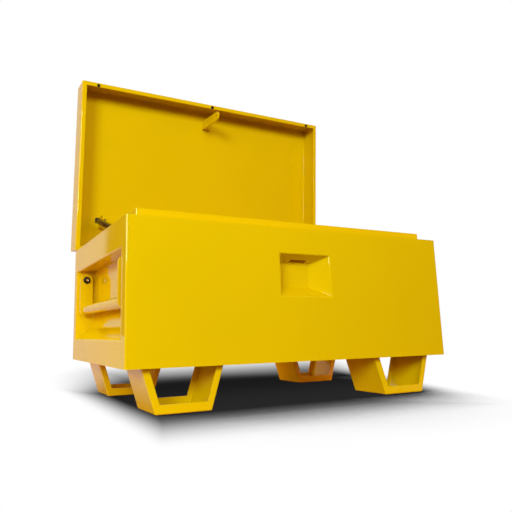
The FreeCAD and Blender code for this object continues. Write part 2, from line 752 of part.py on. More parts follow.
# ---------------------------------------------------------------- gas struts
strut_x = -(end_x - strut_inset)
strut_foot_y = front_y + strut_foot_reach
strut_foot_z = rim_z - strut_foot_drop
strut_top_y = hinge_y - strut_lid_reach * cosine(lid_open) + strut_lid_height * sine(lid_open)
strut_top_z = hinge_z + strut_lid_reach * sine(lid_open) + strut_lid_height * cosine(lid_open)
strut_length = length(strut_top_y - strut_foot_y, strut_top_z - strut_foot_z)
strut_slope = direction(strut_top_y - strut_foot_y, strut_top_z - strut_foot_z)


def on_strut(piece):
    """Carry a piece, drawn along -Z from the strut's upper ball, to its place on the left strut."""
    return turned(piece, strut_top_y, strut_top_z, strut_slope - 90)


def make_socket(name, middle, toward, open_side):
    """Make a strut's end fitting, with a neck that reaches from the ball up or down the strut."""
    width = (strut_x - socket_width / 2, strut_x + socket_width / 2)
    drum = bar(f"{name}_drum", "x", (Size(0), middle), width, socket_diameter)
    span = (middle, toward) if toward.value > middle.value else (toward, middle)
    neck = bar(f"{name}_neck", "z", (strut_x, Size(0)), span, socket_neck)
    shape = fuse(f"{name}_shape", drum, neck)
    if not open_side:
        return shape
    cup = ball(f"{name}_cup", (strut_x, Size(0), middle), ball_diameter + 2 * ball_clearance)
    throat = bar(f"{name}_throat", "x", (Size(0), middle), (strut_x, width[1] + overrun),
                 stud_diameter + 4 * stud_gap)
    return cut(f"{name}_cut", shape, cup, throat)


def both_struts(piece, name):
    """Put a piece on the left strut and its mirror on the right one."""
    node(on_strut(piece), name + "_left")
    node(other_end(name + "_mirror", piece), name + "_right")


def make_struts():
    """Make the gas struts from their tubes, rods, glands, pistons and end fittings."""
    bore = strut_tube_diameter - 2 * strut_tube_wall
    top = -socket_reach
    mouth = top - strut_tube_length
    outer = bar("tube_outer", "z", (strut_x, Size(0)), (mouth, top), strut_tube_diameter)
    inner = bar("tube_inner", "z", (strut_x, Size(0)), (mouth - overrun, top - strut_tube_wall), bore)
    both_struts(cut("tube_cut", outer, inner), "strut_tube")

    both_struts(make_socket("upper_socket", Size(0), top, True), "strut_upper_socket")

    gland = bar("gland_outer", "z", (strut_x, Size(0)), (mouth, mouth + strut_gland_length), bore)
    passage = bar("gland_bore", "z", (strut_x, Size(0)), through(mouth, mouth + strut_gland_length),
                  strut_rod_diameter + 2 * strut_clearance)
    both_struts(cut("gland_cut", gland, passage), "strut_gland")

    low_end = -strut_length + socket_reach
    high_end = mouth + strut_overlap
    piston_low = high_end - strut_piston_length
    rod = bar("rod_bar", "z", (strut_x, Size(0)), (low_end, piston_low), strut_rod_diameter)
    both_struts(group("rod_alone", [rod]), "strut_rod")
    piston = bar("piston_bar", "z", (strut_x, Size(0)), (piston_low, high_end),
                 bore - 2 * strut_clearance)
    both_struts(group("piston_alone", [piston]), "strut_piston")
    both_struts(make_socket("lower_socket", -strut_length, low_end, False), "strut_lower_socket")


def make_stud(name, y, z, plate_x, tip_x):
    """Make a ball stud that stands on a bracket's plate, with its nut on the plate's other side."""
    inward = tip_x.value > plate_x.value
    far = plate_x - bracket_thickness if inward else plate_x + bracket_thickness
    nut_end = far - nut_height if inward else far + nut_height
    shank = bar(f"{name}_shank", "x", (y, z), (far, tip_x) if inward else (tip_x, far), stud_diameter)
    nut = bar(f"{name}_nut", "x", (y, z), (nut_end, far) if inward else (far, nut_end), nut_diameter)
    knob = ball(f"{name}_knob", (tip_x, y, z), ball_diameter)
    return fuse(name, shank, nut, knob)


def make_strut_brackets():
    """Make the bracket on the lid and the bracket on the recess that each strut works between."""
    plate_x = strut_x + bracket_standoff
    sides = (plate_x, plate_x + bracket_thickness)
    half = bracket_width / 2
    y = -strut_lid_reach
    z = strut_lid_height
    ceiling = lid_top - sheet
    web = block("lid_bracket_web", sides, (y - half, y + half), (z, ceiling))
    nose = bar("lid_bracket_nose", "x", (y, z), sides, bracket_edge * 2)
    base = block("lid_bracket_base", (sides[0], sides[0] + bracket_base), (y - half, y + half),
                 (ceiling - bracket_thickness, ceiling))
    hole = bar("lid_bracket_hole", "x", (y, z), through(*sides), stud_diameter)
    bracket = on_lid(cut("lid_bracket_cut", fuse("lid_bracket_shape", web, nose, base), hole))
    node(bracket, "strut_bracket_lid_left")
    node(other_end("lid_bracket_right", bracket), "strut_bracket_lid_right")
    stud = on_lid(make_stud("lid_stud", y, z, plate_x, strut_x))
    node(group("lid_studs", [stud, other_end("lid_stud_right", stud)]), "strut_ball_studs_lid")

    plate_x = strut_x - box_bracket_standoff
    sides = (plate_x - bracket_thickness, plate_x)
    y = strut_foot_y
    z = strut_foot_z
    ledge = rim_z - recess_top + sheet
    web = block("box_bracket_web", sides, (y - half, y + half), (ledge, z))
    nose = bar("box_bracket_nose", "x", (y, z), sides, bracket_edge * 2)
    base = block("box_bracket_base", (sides[1] - bracket_base, sides[1]), (y - half, y + half),
                 (ledge, ledge + bracket_thickness))
    hole = bar("box_bracket_hole", "x", (y, z), through(*sides), stud_diameter)
    bracket = cut("box_bracket_cut", fuse("box_bracket_shape", web, nose, base), hole)
    node(bracket, "strut_bracket_box_left")
    node(other_end("box_bracket_right", bracket), "strut_bracket_box_right")
    tip_x = strut_x - socket_width / 2 - stud_gap - ball_diameter / 2
    stud = make_stud("box_stud", y, z, plate_x, tip_x)
    node(group("box_studs", [stud, other_end("box_stud_right", stud)]), "strut_ball_studs_box")


# ---------------------------------------------------------------- drop handles
def make_handles(recess_space):
    """Make the handles: two flat arms and a tube grip, hung on shoulder bolts in the cheeks."""
    x = -end_x + handle_depth
    pivot_z = rim_z - recess_top - handle_drop
    grip_z = pivot_z - handle_length
    outside = cheek_front + recess_draft * handle_depth / recess_depth + handle_gap
    inside = outside + arm_thickness
    sides = (outside, inside)
    flat = block("arm_bar", (x - arm_width / 2, x + arm_width / 2), sides, (grip_z, pivot_z))
    arm = fuse("arm_shape", flat, bar("arm_top", "y", (x, pivot_z), sides, arm_width),
               bar("arm_foot", "y", (x, grip_z), sides, arm_width))
    hole = bar("arm_hole", "y", (x, pivot_z), through(outside, inside),
               bolt_diameter + 2 * bolt_clearance)
    front_arm = cut("arm_cut", arm, hole)
    arms = group("arms", [front_arm, other_side("arm_back", front_arm)])
    node(arms, "handle_arms_left")
    node(other_end("arms_right", arms), "handle_arms_right")

    between = (inside, middle_y * 2 - inside)
    grip = cut("grip_cut", bar("grip_outer", "y", (x, grip_z), between, grip_diameter),
               bar("grip_inner", "y", (x, grip_z), between, grip_diameter - 2 * grip_wall))
    node(grip, "handle_grip_left")
    node(other_end("grip_right", grip), "handle_grip_right")

    # Each boss runs from the leaning cheek to the arm, so its far end takes the cheek's slope.
    face = outside - boss_gap
    boss = bar("boss_bar", "y", (x, pivot_z), (face - return_width, face), boss_diameter)
    tapped = bar("boss_bore", "y", (x, pivot_z), (face - bolt_depth, face + overrun), bolt_diameter)
    four("handle_bosses", cut("boss_cut", common("boss_fit", boss, recess_space), tapped))

    washer_face = inside + boss_gap
    head_face = washer_face + washer_thickness
    disc = bar("washer_disc", "y", (x, pivot_z), (washer_face, head_face), washer_diameter)
    eye = bar("washer_hole", "y", (x, pivot_z), through(washer_face, head_face), bolt_diameter)
    four("handle_washers", cut("washer_cut", disc, eye))
    shank = bar("bolt_shank", "y", (x, pivot_z), (face - bolt_depth, head_face), bolt_diameter)
    head_top = head_face + bolt_head_height
    head = bar("bolt_head", "y", (x, pivot_z), (head_face, head_top), bolt_head_diameter)
    key = (head_top - bolt_head_height / 2, head_top + overrun)
    socket = bar("bolt_key", "y", (x, pivot_z), key, bolt_socket)
    four("handle_pivot_bolts", cut("bolt_cut", fuse("bolt_shape", shank, head), socket))


def four(name, piece):
    """Put a piece on both arms of both handles."""
    pair = group(name + "_pair", [piece, other_side(name + "_back", piece)])
    node(group(name + "_four", [pair, other_end(name + "_right", pair)]), name)


# ---------------------------------------------------------------- the whole box
def export():
    """Check the document and write each sub-part to a file of its own."""
    doc.recompute()
    for thing in doc.Objects:
        for fault in ("Invalid", "Error"):
            if fault in thing.State:
                raise RuntimeError(f"{thing.Label} is {fault}")
    os.makedirs("parts", exist_ok=True)
    for piece in nodes:
        shape = piece.Shape
        if shape.isNull() or not shape.isValid():
            raise RuntimeError(f"{piece.Label} has no valid shape")
        shape.exportStep(f"parts/{piece.Label}.step")
    print(f"{len(nodes)} sub-parts written")


make_front_and_back()
recess_space = make_ends()
make_floor_and_rim()
make_feet()
make_lid()
make_lock()
make_hinge()
make_struts()
make_strut_brackets()
make_handles(recess_space)
export()
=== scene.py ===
# %% [markdown]
# # Dressing a jobsite storage box
# The box is a folded steel chest that stands open on four channel feet. Its construction is loaded as
# a fixed frame of plain solids. This lesson models the folded skins that are seen over that frame,
# finishes every small part, and then lights the box in a pale studio.
# Lengths are metres: +X runs along the front to the right, +Y to the back and +Z up.

# %% Load the frame
import json
import math

import bmesh
import bpy
from mathutils import Matrix, Vector

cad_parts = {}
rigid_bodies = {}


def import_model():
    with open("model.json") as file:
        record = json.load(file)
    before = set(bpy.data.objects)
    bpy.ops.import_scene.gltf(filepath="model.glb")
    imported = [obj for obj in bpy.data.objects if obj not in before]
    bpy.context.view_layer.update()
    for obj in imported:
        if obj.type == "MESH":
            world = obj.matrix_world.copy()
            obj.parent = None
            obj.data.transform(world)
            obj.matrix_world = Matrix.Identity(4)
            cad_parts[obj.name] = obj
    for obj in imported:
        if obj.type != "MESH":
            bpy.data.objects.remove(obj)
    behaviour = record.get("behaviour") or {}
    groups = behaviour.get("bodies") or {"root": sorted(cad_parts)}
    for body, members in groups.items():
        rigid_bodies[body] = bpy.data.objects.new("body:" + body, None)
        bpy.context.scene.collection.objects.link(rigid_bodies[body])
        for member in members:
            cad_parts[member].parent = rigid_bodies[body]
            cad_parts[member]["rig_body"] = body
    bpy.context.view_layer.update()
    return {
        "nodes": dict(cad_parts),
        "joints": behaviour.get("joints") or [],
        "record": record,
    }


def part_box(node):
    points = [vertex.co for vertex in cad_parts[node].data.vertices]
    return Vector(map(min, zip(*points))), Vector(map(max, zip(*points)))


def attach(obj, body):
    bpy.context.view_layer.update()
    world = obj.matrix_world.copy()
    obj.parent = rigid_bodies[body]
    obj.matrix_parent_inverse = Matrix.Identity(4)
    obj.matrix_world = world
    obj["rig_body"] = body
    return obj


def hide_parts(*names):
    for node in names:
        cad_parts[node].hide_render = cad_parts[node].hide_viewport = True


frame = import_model()

# %% [markdown]
# ## Places and sheet
# The whole box is welded from one gauge of steel sheet. Its outside could be typed in again, but it is
# read from the frame, so that the skins can't drift away from the solids that they cover. Folds, seams
# and cut edges get their sizes here, because the plain solids have none.

# %% Places from the frame
X, Y, Z = range(3)                       # the three axes
front_low, front_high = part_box("front_panel")
END = front_high.x
FRONT = front_low.y
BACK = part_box("back_panel")[1].y
MIDDLE = (FRONT + BACK) / 2
BODY_LOW, BODY_HIGH = front_low.z, front_high.z
RETURN = front_high.y - FRONT            # how far the front sheet wraps round each end
joints = {joint["name"]: joint for joint in frame["joints"]}
print(f"body {2 * END:.3f} x {BACK - FRONT:.3f} m, {BODY_HIGH - BODY_LOW:.3f} m high")

# %% Sizes of the sheet
SHEET = 0.002
SEAM = 0.0002                            # gap between two sheets that meet
FOLD = 0.0035                            # outside radius of a fold
EDGE_BREAK = 0.0004                      # rounding of a cut edge
NEAR = 0.0001                            # two places closer than this count as the same place
print(f"sheet {SHEET * 1000:.1f} mm, folded to an outside radius of {FOLD * 1000:.1f} mm")

# %% [markdown]
# ## Helpers for modelling
# Mesh code could set every point of a panel, but a folded panel is easier to follow as it is made by
# hand: add a primitive at its size and place, open it in edit mode, cut, push and round it. An operator
# works on all that is selected and open. So these helpers first clear the selection, and then select
# points, edges or faces by a test of where they lie or which way they look.

# %% Start and open pieces
def deselect():
    """Leave edit mode and select nothing."""
    if bpy.context.object and bpy.context.object.mode != "OBJECT":
        bpy.ops.object.mode_set(mode="OBJECT")
    bpy.ops.object.select_all(action="DESELECT")


def hold(piece):
    """Select one piece alone."""
    deselect()
    bpy.context.view_layer.objects.active = piece
    piece.select_set(True)


def settle(piece):
    """Put a piece's place, turn and size into its mesh."""
    hold(piece)
    bpy.ops.object.transform_apply(location=True, rotation=True, scale=True)
    return piece


def block(name, low, high):
    """Add a box between two corners."""
    deselect()
    low, high = Vector(low), Vector(high)
    bpy.ops.mesh.primitive_cube_add(size=1, location=(low + high) / 2)
    piece = bpy.context.object
    piece.name = piece.data.name = name
    piece.scale = high - low
    return settle(piece)


def open_piece(piece):
    """Open one piece in edit mode with nothing of it selected."""
    hold(piece)
    bpy.ops.object.mode_set(mode="EDIT")
    bpy.ops.mesh.select_all(action="DESELECT")


def close_piece():
    """Go back to object mode and give the piece that was open."""
    bpy.ops.object.mode_set(mode="OBJECT")
    return bpy.context.object


# %% Tell points, edges and faces apart
SLIGHT, CLEAR, SHARP = 0.15, 0.6, 1.0    # angles between two faces, in radians
PARALLEL = 0.99                          # least share of an edge that runs along its axis
SQUARE_ON, LEANING = 0.9, 0.7            # least share of a face's normal along its axis


def middle(item):
    """Give the middle of an edge or a face."""
    return sum((point.co for point in item.verts), Vector()) / len(item.verts)


def bent(edge, least=SLIGHT):
    """Tell whether two faces meet at an edge with an angle between them."""
    return len(edge.link_faces) == 2 and edge.calc_face_angle(0) > least


def along(edge, axis):
    """Tell whether an edge runs along an axis."""
    run = edge.verts[1].co - edge.verts[0].co
    return abs(run[axis]) > PARALLEL * run.length


def faces(face, axis, side=0, least=SQUARE_ON):
    """Tell whether a face looks along an axis, towards its side 1 or -1 if one is given."""
    share = face.normal[axis]
    return (share * side if side else abs(share)) > least


# %% Select and shape
def choose(kind, test):
    """Select the points, edges or faces of the open piece that pass a test, and count them."""
    bpy.ops.mesh.select_mode(type=kind)
    bpy.ops.mesh.select_all(action="DESELECT")
    mesh = bmesh.from_edit_mesh(bpy.context.object.data)
    items = {"VERT": mesh.verts, "EDGE": mesh.edges, "FACE": mesh.faces}[kind]
    chosen = [item for item in items if test(item)]
    for item in chosen:
        item.select_set(True)
    mesh.select_flush_mode()
    bmesh.update_edit_mesh(bpy.context.object.data)
    return len(chosen)


def remove_faces(test):
    """Take away the faces that pass a test."""
    choose("FACE", test)
    bpy.ops.mesh.delete(type="FACE")


def cut(axis, place, keep_all=True):
    """Cut the selected faces across an axis, and drop what lies beyond the cut if asked."""
    way = Matrix.Identity(3)[axis]
    bpy.ops.mesh.bisect(plane_co=way * place, plane_no=way, clear_outer=not keep_all)


def slice_at(axis, *places, keep_all=True):
    """Cut the whole open piece across an axis at one or more places."""
    for place in places:
        bpy.ops.mesh.select_all(action="SELECT")
        cut(axis, place, keep_all)


def push(move):
    """Extrude the selected faces as one region and move them."""
    bpy.ops.mesh.extrude_region_move(TRANSFORM_OT_translate={"value": move})


def round_edges(test, radius, segments):
    """Round the edges that pass a test."""
    if choose("EDGE", test):
        bpy.ops.mesh.bevel(offset=radius, segments=segments, affect="EDGES", clamp_overlap=True)


# %% Finish a piece
BROKEN_ABOVE = math.radians(60)          # edges sharper than this are cut edges of the sheet
SMOOTH_BELOW = math.radians(42)          # edges blunter than this are shaded smoothly
LARGE_FACE_WEIGHT = 80                   # how strongly a flat holds the shading of the rounds beside it
finished = []


def modify(piece, kind, **settings):
    """Add a modifier with its settings and apply it at once."""
    hold(piece)
    bpy.ops.object.modifier_add(type=kind)
    modifier = piece.modifiers[-1]
    for name, value in settings.items():
        setattr(modifier, name, value)
    bpy.ops.object.modifier_apply(modifier=modifier.name)


def thicken(piece):
    """Give a skin its metal, on the side away from its outside, and break its cut edges."""
    modify(piece, "SOLIDIFY", thickness=SHEET, offset=-1, use_even_offset=True)
    modify(piece, "BEVEL", width=EDGE_BREAK, segments=2, limit_method="ANGLE",
           angle_limit=BROKEN_ABOVE)


def smooth(piece):
    """Shade the rounded edges smoothly and keep the flats flat."""
    hold(piece)
    bpy.ops.object.shade_smooth_by_angle(angle=SMOOTH_BELOW)
    modify(piece, "WEIGHTED_NORMAL", keep_sharp=True, weight=LARGE_FACE_WEIGHT)


def done(piece, body, slot, *nodes):
    """Smooth a piece, let it ride on its body in its finish, and hide the solids that it stands for."""
    smooth(piece)
    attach(piece, body)
    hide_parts(*nodes)
    finished.append((piece, slot))
    print(f"{piece.name}: {len(piece.data.polygons)} faces on {body}")


# %% [markdown]
# ## The front, with the padlock's pocket
# On the real box the front is one sheet, folded round both front corners, with a tapered pocket welded
# into it so neatly that it looks pressed. It could be bent from a flat plane, but a box primitive with
# its back, top and bottom taken off is that folded sheet already. The pocket is a face cut out by four
# slices, pushed in and made smaller. The back is the same fold without a pocket.

# %% Fold a wall of the body
def folded_wall(name, outside, inside):
    """Fold a sheet round one long side of the body and a little way along both ends."""
    low, high = sorted((outside, inside))
    wall = block(name, (-END, low, BODY_LOW), (END, high, BODY_HIGH))
    outwards = math.copysign(1, outside - inside)
    open_piece(wall)
    remove_faces(lambda face: faces(face, Z) or faces(face, Y, -outwards))
    round_edges(lambda edge: along(edge, Z) and bent(edge), FOLD, segments=6)
    return close_piece()


front_skin = folded_wall("front_skin", FRONT, FRONT + RETURN)
print(f"front folded {RETURN * 1000:.0f} mm round each end")

# %% Press the pocket into the front
POCKET_WIDTH, POCKET_HEIGHT = 0.134, 0.092           # at its mouth
POCKET_BACK_WIDTH, POCKET_BACK_HEIGHT = 0.071, 0.0525
POCKET_LOW = BODY_LOW + 0.1368
POCKET_BACK_RISE = 0.0242                # how far the back's lower edge lies above the mouth's
POCKET_DEPTH = 0.040
PRESSED = 0.0026                         # radius of the pocket's edges


def press_pocket():
    """Push the tapered pocket into the open front and round its edges."""
    half = POCKET_WIDTH / 2
    high = POCKET_LOW + POCKET_HEIGHT
    slice_at(X, -half, half)
    slice_at(Z, POCKET_LOW, high)
    choose("FACE", lambda face: abs(middle(face).x) < half and POCKET_LOW < middle(face).z < high)
    push((0, POCKET_DEPTH, 0))
    centre = Vector((0, FRONT + POCKET_DEPTH, POCKET_LOW + POCKET_HEIGHT / 2))
    narrower = (POCKET_BACK_WIDTH / POCKET_WIDTH, 1, POCKET_BACK_HEIGHT / POCKET_HEIGHT)
    bpy.ops.transform.resize(value=narrower, center_override=centre)
    lift = POCKET_BACK_RISE + POCKET_BACK_HEIGHT / 2 - POCKET_HEIGHT / 2
    bpy.ops.transform.translate(value=(0, 0, lift))
    round_edges(lambda edge: bent(edge) and abs(middle(edge).x) < END / 2, PRESSED, segments=4)


open_piece(front_skin)
press_pocket()
print(f"pocket {POCKET_WIDTH:.3f} x {POCKET_HEIGHT:.3f} m at its mouth, {POCKET_DEPTH:.3f} m deep")

# %% Cut the slot for the shackle
SLOT_WIDTH = 0.044
SLOT_FRONT, SLOT_BACK = 0.024, 0.038     # from the front of the body
BROAD = 0.0005                           # square metres, more than any strip of a rounded edge


def cut_shackle_slot():
    """Cut the slot for the padlock's shackle through the pocket's ceiling."""
    half_slot = SLOT_WIDTH / 2

    def ceiling(face, half_width):
        return faces(face, Z, -1, LEANING) and abs(middle(face).x) < half_width

    for x in (-half_slot, half_slot):
        choose("FACE", lambda face: ceiling(face, POCKET_WIDTH / 2) and face.calc_area() > BROAD)
        cut(X, x)
    for depth in (SLOT_FRONT, SLOT_BACK):
        choose("FACE", lambda face: ceiling(face, half_slot))
        cut(Y, FRONT + depth)
    remove_faces(lambda face: ceiling(face, half_slot)
                 and SLOT_FRONT < middle(face).y - FRONT < SLOT_BACK)


cut_shackle_slot()
thicken(close_piece())
done(front_skin, "box", "yellow_paint", "front_panel", "lock_pocket")

# %% Fold the back
back_skin = folded_wall("back_skin", BACK, BACK - RETURN)
thicken(back_skin)
done(back_skin, "box", "yellow_paint", "back_panel")

# %% [markdown]
# ## The ends
# Each end is a sheet folded round a deep recess for the drop handle: ceiling, upright wall, and a slope
# that runs out to the sill. Two leaning cheeks close the recess. Six plates could be fitted together,
# but then every seam has to be matched. So all of it grows from one outer face: slices mark the mouth,
# one push makes the recess, and its lower rows of points are then drawn outwards.

# %% Push the recess into the left end
RECESS_CEILING = BODY_HIGH - 0.060
RECESS_SILL = BODY_LOW + 0.050
RECESS_DEPTH = 0.042
RECESS_DRAFT = 0.027                     # how far each cheek leans in over the depth
half_end = (BACK - FRONT) / 2 - RETURN - SEAM
half_mouth = half_end - SHEET * math.hypot(RECESS_DEPTH, RECESS_DRAFT) / RECESS_DEPTH
inner_x = -END + RECESS_DEPTH

end_left = block("end_skin_left", (-END, MIDDLE - half_end, BODY_LOW),
                 (inner_x, MIDDLE + half_end, BODY_HIGH))
open_piece(end_left)
remove_faces(lambda face: not faces(face, X, -1))
slice_at(Z, RECESS_CEILING, RECESS_SILL)
slice_at(Y, MIDDLE - half_mouth, MIDDLE + half_mouth)
choose("FACE", lambda face: abs(middle(face).y - MIDDLE) < half_mouth
       and RECESS_SILL < middle(face).z < RECESS_CEILING)
push((RECESS_DEPTH, 0, 0))
bpy.ops.transform.resize(value=(1, (half_mouth - RECESS_DRAFT) / half_mouth, 1),
                         center_override=(0, MIDDLE, 0))
print(f"recess {2 * half_mouth:.4f} m wide at its mouth")

# %% Draw the slope outwards
RECESS_KNEE = RECESS_CEILING - 0.112     # where the inner wall starts to slope outwards
RECESS_TOE = RECESS_SILL + 0.028         # where the slope ends above the sill
TOE_DEPTH = 0.029                        # how deep the slope still is at the toe


def shift(test, move):
    """Move the points that pass a test."""
    choose("VERT", test)
    bpy.ops.transform.translate(value=move)


def draw_out(z, distance):
    """Draw the inner wall's points at a height outwards, along the leaning cheeks."""
    for side in (-1, 1):
        shift(lambda point: abs(point.co.z - z) < NEAR and abs(point.co.x - inner_x) < NEAR
              and (point.co.y - MIDDLE) * side > 0,
              (-distance, side * RECESS_DRAFT * distance / RECESS_DEPTH, 0))


slice_at(Z, RECESS_KNEE, RECESS_TOE)
draw_out(RECESS_TOE, RECESS_DEPTH - TOE_DEPTH)
draw_out(RECESS_SILL, RECESS_DEPTH)
bpy.ops.mesh.select_all(action="SELECT")
bpy.ops.mesh.remove_doubles(threshold=NEAR)
print(f"slope from {RECESS_KNEE:.3f} down to {RECESS_TOE:.3f} m")

# %% Fold the left end and mirror it
CHEEK_WELD = 0.0008                      # radius where a cheek meets the folded sheet


def twin(piece, name, move=(0, 0, 0)):
    """Copy a piece with a mesh of its own."""
    hold(piece)
    bpy.ops.object.duplicate(linked=False)
    copy = bpy.context.object
    copy.name = copy.data.name = name
    copy.location = Vector(move)
    return settle(copy)


def mirrored(piece, name):
    """Copy a piece from the left end of the box to the right end, with its faces pointing outwards."""
    copy = twin(piece, name)
    copy.scale.x = -1
    settle(copy)
    open_piece(copy)
    bpy.ops.mesh.select_all(action="SELECT")
    bpy.ops.mesh.normals_make_consistent(inside=False)
    return close_piece()


round_edges(lambda edge: along(edge, Y) and bent(edge), FOLD - EDGE_BREAK, segments=4)
round_edges(lambda edge: bent(edge, CLEAR) and not along(edge, Y), CHEEK_WELD, segments=2)
thicken(close_piece())
end_right = mirrored(end_left, "end_skin_right")
done(end_left, "box", "yellow_paint", "end_panel_left", "recess_cheeks_left")
done(end_right, "box", "yellow_paint", "end_panel_right", "recess_cheeks_right")

# %% [markdown]
# ## The rim
# The lid shuts over an upright collar that stands on a narrow ledge all round. On the real box these
# are strips of angle, welded and ground at the corners. Four strips would show seams that grinding has
# taken away, so here it is one ring: the top face of a box, inset and pushed up.

# %% Make the ledge and its collar
SHELF, COLLAR = 0.027, 0.020             # width of the ledge, height of the collar
COLLAR_CORNER = 0.0025                   # radius of the collar's four corners
COLLAR_FOOT = 0.0015                     # radius where the ledge turns up into the collar
gap = SHEET + SEAM
rim = block("rim_ring", (-END + gap, FRONT + gap, BODY_LOW), (END - gap, BACK - gap, BODY_HIGH))
open_piece(rim)
remove_faces(lambda face: not faces(face, Z, 1))
choose("FACE", lambda face: True)
bpy.ops.mesh.inset(thickness=SHELF - gap)
push((0, 0, COLLAR))
remove_faces(lambda face: middle(face).z > BODY_HIGH + COLLAR - NEAR)
round_edges(lambda edge: along(edge, Z) and bent(edge), COLLAR_CORNER, segments=4)
round_edges(lambda edge: bent(edge, SHARP) and middle(edge).z < BODY_HIGH + NEAR, COLLAR_FOOT,
            segments=3)
thicken(close_piece())
done(rim, "box", "yellow_paint", "rim_front", "rim_back", "rim_left", "rim_right",
     "collar_front", "collar_back", "collar_left", "collar_right")

# %% [markdown]
# ## The feet
# Each foot is a channel bent into an upturned trapezium, with its flanges turned in at front and back.
# A profile could be swept along the bends, but its flanges would cross at the corners. A block whose
# top is widened is made taller than the foot instead: an inset of its front and back faces gives the
# flanges down the legs and along the base, and a last slice takes the top away.

# %% Widen a block into a trapezium
FOOT_TOP, FOOT_BASE = 0.172, 0.117       # width across the legs at the body and at the floor
SPARE = 0.030                            # extra height, sliced off at the end
splay = (FOOT_TOP - FOOT_BASE) / 2 / BODY_LOW        # sideways lean of a leg for each metre up
foot_low, foot_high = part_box("foot_front_left")
foot_x = (foot_low.x + foot_high.x) / 2
foot = block("foot_skin_front_left", (foot_x - FOOT_BASE / 2, foot_low.y, 0),
             (foot_x + FOOT_BASE / 2, foot_high.y, BODY_LOW + SPARE))
open_piece(foot)
choose("FACE", lambda face: faces(face, Z, 1))
wider = (FOOT_BASE + 2 * splay * (BODY_LOW + SPARE)) / FOOT_BASE
bpy.ops.transform.resize(value=(wider, 1, 1), center_override=(foot_x, 0, 0))
remove_faces(lambda face: faces(face, Z, 1))
print(f"legs lean {math.degrees(math.atan(splay)):.1f} degrees")

# %% Turn in the flanges
LEG_FLANGE, BASE_FLANGE = 0.014, 0.018   # widths down the legs and along the base
FOOT_FOLD = 0.0028                       # outside radius of the foot's folds
rise = BASE_FLANGE - LEG_FLANGE
choose("FACE", lambda face: faces(face, Y))
bpy.ops.mesh.inset(thickness=LEG_FLANGE, use_individual=True)
for side in (-1, 1):
    shift(lambda point: abs(point.co.z - LEG_FLANGE) < NEAR and (point.co.x - foot_x) * side > 0,
          (side * splay * rise, 0, rise))
remove_faces(lambda face: faces(face, Y) and abs(middle(face).x - foot_x) < NEAR
             and middle(face).z > BASE_FLANGE)
slice_at(Z, BODY_LOW, keep_all=False)
round_edges(bent, FOOT_FOLD, segments=4)
thicken(close_piece())

# %% Copy the other feet
feet = {"foot_front_left": foot}
for node in ("foot_front_right", "foot_back_left", "foot_back_right"):
    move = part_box(node)[0] - foot_low
    feet[node] = twin(foot, node.replace("foot_", "foot_skin_"), (move.x, move.y, 0))
for node, piece in feet.items():
    done(piece, "box", "yellow_paint", node)

# %% [markdown]
# ## The lid
# The lid is a pan with a narrow lip turned in all round. It could be modelled where it stands, leaning
# back, but shut and with the hinge line as its origin, every face is square to an axis. Its bottom face
# is inset for the lip and opened, its outer edges are rounded as folds are, and the whole is then
# turned open.

# %% Fold the lid and open it
LID_BOTTOM = 0.00125                     # height of the shut lid's bottom above the hinge line
LID_HEIGHT, LID_LIP = 0.0705, 0.0125
HINGE = Vector(joints["lid_hinge"]["pos_m"])
LID_OPEN = math.radians(joints["lid_hinge"]["range_deg"][1])
lid = block("lid_skin", (-END, FRONT - HINGE.y, LID_BOTTOM),
            (END, BACK - HINGE.y, LID_BOTTOM + LID_HEIGHT))
open_piece(lid)
choose("FACE", lambda face: faces(face, Z, -1))
bpy.ops.mesh.inset(thickness=LID_LIP)
bpy.ops.mesh.delete(type="FACE")
round_edges(lambda edge: bent(edge, SHARP), FOLD, segments=6)
thicken(close_piece())
lid.rotation_euler.x = -LID_OPEN
lid.location = HINGE
settle(lid)
done(lid, "lid", "yellow_paint", "lid_shell", "lid_end_left", "lid_end_right")

# %% [markdown]
# ## Small parts that keep their shape
# The hasp, brackets, hinge leaves, bolts, handles and strut fittings already have their true shape in
# the frame, but with knife-sharp edges. They could be modelled again, with a risk of missing their
# holes and pins. So a copy of each is merged, its flats are cleared of needless edges, and its corners
# are rounded by what such a part has.

# %% Copy and soften a part
FLAT = math.radians(1)                   # faces that bend less than this are one flat
CORNER = math.radians(35)                # edges sharper than this are corners


def softened(node, radius):
    """Copy a construction piece, join its triangles into whole faces and round its corners."""
    piece = bpy.data.objects.new(node + "_made", frame["nodes"][node].data.copy())
    bpy.context.scene.collection.objects.link(piece)
    piece.data.materials.clear()
    open_piece(piece)
    bpy.ops.mesh.select_all(action="SELECT")
    bpy.ops.mesh.remove_doubles(threshold=NEAR / 10)
    bpy.ops.mesh.dissolve_limited(angle_limit=FLAT)
    round_edges(lambda edge: bent(edge, CORNER), radius, segments=2)
    return close_piece()


# %% Soften the small parts
corner_radii = {
    "yellow_paint": {"hasp_tab": 0.0012, "hasp_foot": 0.0006, "hasp_gusset": 0.0008,
                     "lock_eye_plate": 0.0008, "lock_guard": 0.0006, "floor_panel": 0.0004,
                     "strut_bracket_box": 0.0005, "strut_bracket_lid": 0.0005,
                     "handle_arms": 0.0011, "handle_grip": 0.0004, "handle_bosses": 0.0005,
                     "hinge_leaf_body": 0.0002, "hinge_leaf_lid": 0.0002},
    "zinc_steel": {"strut_ball_studs_box": 0.0005, "strut_ball_studs_lid": 0.0005,
                   "handle_pivot_bolts": 0.0007},
    "rivet_metal": {"hinge_rivets_body": 0.0009, "hinge_rivets_lid": 0.0009},
    "black_plastic": {"strut_upper_socket": 0.0008, "strut_lower_socket": 0.0008,
                      "handle_washers": 0.0002},
    "rubber": {"lid_buffers": 0.0007},
}
body_of = {node: piece["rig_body"] for node, piece in frame["nodes"].items()}
for slot, radii in corner_radii.items():
    for part, radius in radii.items():
        for node in (part, part + "_left", part + "_right"):     # one node, or one at each side
            if node in body_of:
                done(softened(node, radius), body_of[node], slot, node)

